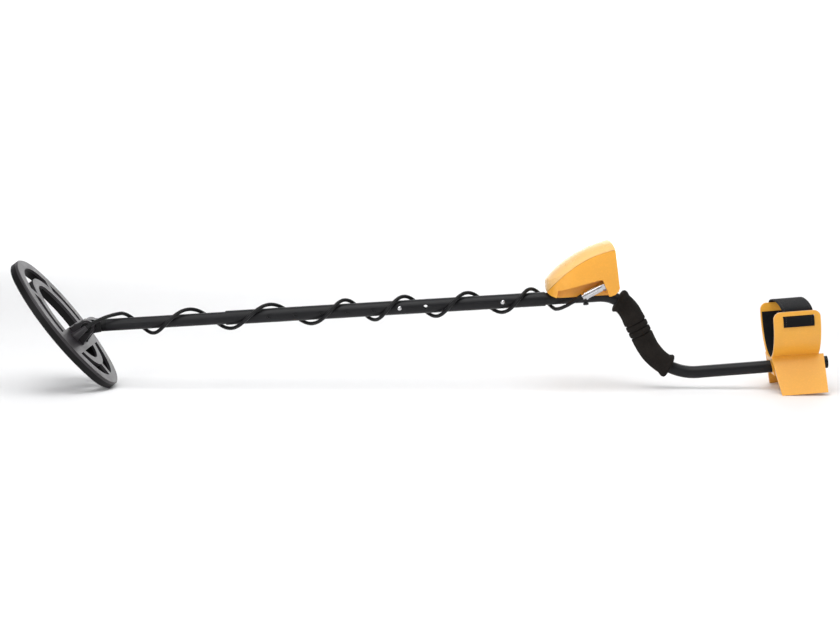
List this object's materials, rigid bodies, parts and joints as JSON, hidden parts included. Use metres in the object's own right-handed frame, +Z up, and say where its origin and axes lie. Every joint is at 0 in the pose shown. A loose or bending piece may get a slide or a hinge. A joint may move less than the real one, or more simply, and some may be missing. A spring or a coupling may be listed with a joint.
{
  "type": "metal detector",
  "caption": "Hobby metal detector: open oval search coil on a telescoping stem, control box with display, S-shaped handle with foam grip, arm cuff on a stand.",
  "frame": {"origin": "centre of the bounding box's footprint, on the floor that the coil's heel and the stand rest on", "axes": "+X to the user's elbow (from coil to cuff), +Y to the user's right, +Z up"},
  "size_m": [1.1928, 0.165, 0.2196],
  "materials": {
    "coil_lower": "satin",
    "coil_upper": "satin",
    "copper": "enamelled",
    "black_plastic": "satin",
    "rubber": "matt",
    "black_tube": "satin",
    "steel": "brushed",
    "spring_steel": "satin",
    "foam": "matt",
    "yellow_plastic": "satin",
    "cover_plastic": "satin",
    "panel": "satin",
    "window": "clear",
    "display": "matt",
    "keys": "matt",
    "board": "satin",
    "cell": "gloss",
    "screw": "blackened",
    "chrome": "polished",
    "pad": "matt",
    "strap": "matt",
    "cable": "satin"
  },
  "bodies": {
    "handle": {"upper_tube": "black_tube", "handle_tube": "black_tube", "handle_clip_spring": "spring_steel", "hand_grip": "foam", "tube_end_cap": "black_plastic", "housing_shell": "yellow_plastic", "box_screw": "screw", "face_panel": "panel", "lcd_window": "window", "lcd_module": "display", "keypad_backing": "keys", "circuit_board": "board", "speaker": "panel", "battery_tray": "panel", "cell_low_left": "cell", "cell_low_right": "cell", "cell_high_left": "cell", "cell_high_right": "cell", "contact_front": "spring_steel", "contact_rear": "spring_steel", "headphone_socket": "panel", "coil_socket": "chrome", "plug_barrel": "chrome", "plug_boot": "rubber", "arm_cuff": "yellow_plastic", "cuff_stand": "yellow_plastic", "cuff_pad": "pad", "cuff_strap": "strap", "cuff_bolt": "spring_steel", "cuff_nut": "spring_steel", "coil_cable": "cable"},
    "coil": {"coil_bottom_shell": "coil_lower", "coil_top_shell": "coil_upper", "transmit_winding": "copper", "receive_winding": "copper", "coil_gland": "coil_upper", "coil_bolt": "black_plastic"},
    "wing_nut": {"wing_nut": "black_plastic"},
    "lower_stem": {"stem_fork": "black_plastic", "washer_near": "rubber", "washer_far": "rubber", "lower_tube": "black_tube", "lower_clip_spring": "spring_steel"},
    "lower_button_near": {"lower_button_near": "steel"},
    "lower_button_far": {"lower_button_far": "steel"},
    "handle_button_near": {"handle_button_near": "steel"},
    "handle_button_far": {"handle_button_far": "steel"},
    "battery_cover": {"battery_cover": "cover_plastic"},
    "key_power": {"key_power": "keys"},
    "key_mode": {"key_mode": "keys"},
    "key_minus": {"key_minus": "keys"},
    "key_plus": {"key_plus": "keys"},
    "plug_ring": {"plug_ring": "chrome"}
  },
  "joints": [
    {"name": "stem_slide", "type": "slide", "parent": "handle", "child": "lower_stem", "axis": [-0.9981, 0, -0.0619], "range_m": [-0.0381, 0.1905], "deforming": ["coil_cable"]},
    {"name": "coil_tilt", "type": "hinge", "parent": "lower_stem", "child": "coil", "pos_m": [-0.48612, 0, 0.09102], "axis": [0, 1, 0], "range_deg": [-60, 60]},
    {"name": "wing_nut_turn", "type": "hinge", "parent": "coil", "child": "wing_nut", "pos_m": [-0.48612, 0, 0.09102], "axis": [0, 1, 0], "continuous": true},
    {"name": "lower_button_near_press", "type": "slide", "parent": "lower_stem", "child": "lower_button_near", "axis": [0, 1, 0], "range_m": [0, 0.0032], "stiffness_N_per_m": 1500, "springref_m": -0.002, "deforming": ["lower_clip_spring"]},
    {"name": "lower_button_far_press", "type": "slide", "parent": "lower_stem", "child": "lower_button_far", "axis": [0, -1, 0], "range_m": [0, 0.0032], "stiffness_N_per_m": 1500, "springref_m": -0.002},
    {"name": "handle_button_near_press", "type": "slide", "parent": "handle", "child": "handle_button_near", "axis": [0, 1, 0], "range_m": [0, 0.0032], "stiffness_N_per_m": 1500, "springref_m": -0.002, "deforming": ["handle_clip_spring"]},
    {"name": "handle_button_far_press", "type": "slide", "parent": "handle", "child": "handle_button_far", "axis": [0, -1, 0], "range_m": [0, 0.0032], "stiffness_N_per_m": 1500, "springref_m": -0.002},
    {"name": "battery_cover_slide", "type": "slide", "parent": "handle", "child": "battery_cover", "axis": [-0.9591, 0, 0.2832], "range_m": [0, 0.05]},
    {"name": "key_power_press", "type": "slide", "parent": "handle", "child": "key_power", "axis": [-0.9922, 0, -0.1245], "range_m": [0, 0.0005], "stiffness_N_per_m": 3000, "springref_m": -0.0003},
    {"name": "key_mode_press", "type": "slide", "parent": "handle", "child": "key_mode", "axis": [-0.9922, 0, -0.1245], "range_m": [0, 0.0005], "stiffness_N_per_m": 3000, "springref_m": -0.0003},
    {"name": "key_minus_press", "type": "slide", "parent": "handle", "child": "key_minus", "axis": [-0.9922, 0, -0.1245], "range_m": [0, 0.0005], "stiffness_N_per_m": 3000, "springref_m": -0.0003},
    {"name": "key_plus_press", "type": "slide", "parent": "handle", "child": "key_plus", "axis": [-0.9922, 0, -0.1245], "range_m": [0, 0.0005], "stiffness_N_per_m": 3000, "springref_m": -0.0003},
    {"name": "plug_ring_turn", "type": "hinge", "parent": "handle", "child": "plug_ring", "pos_m": [0.23458, -0.032, 0.13923], "axis": [0.8834, 0, 0.4687], "continuous": true}
  ]
}
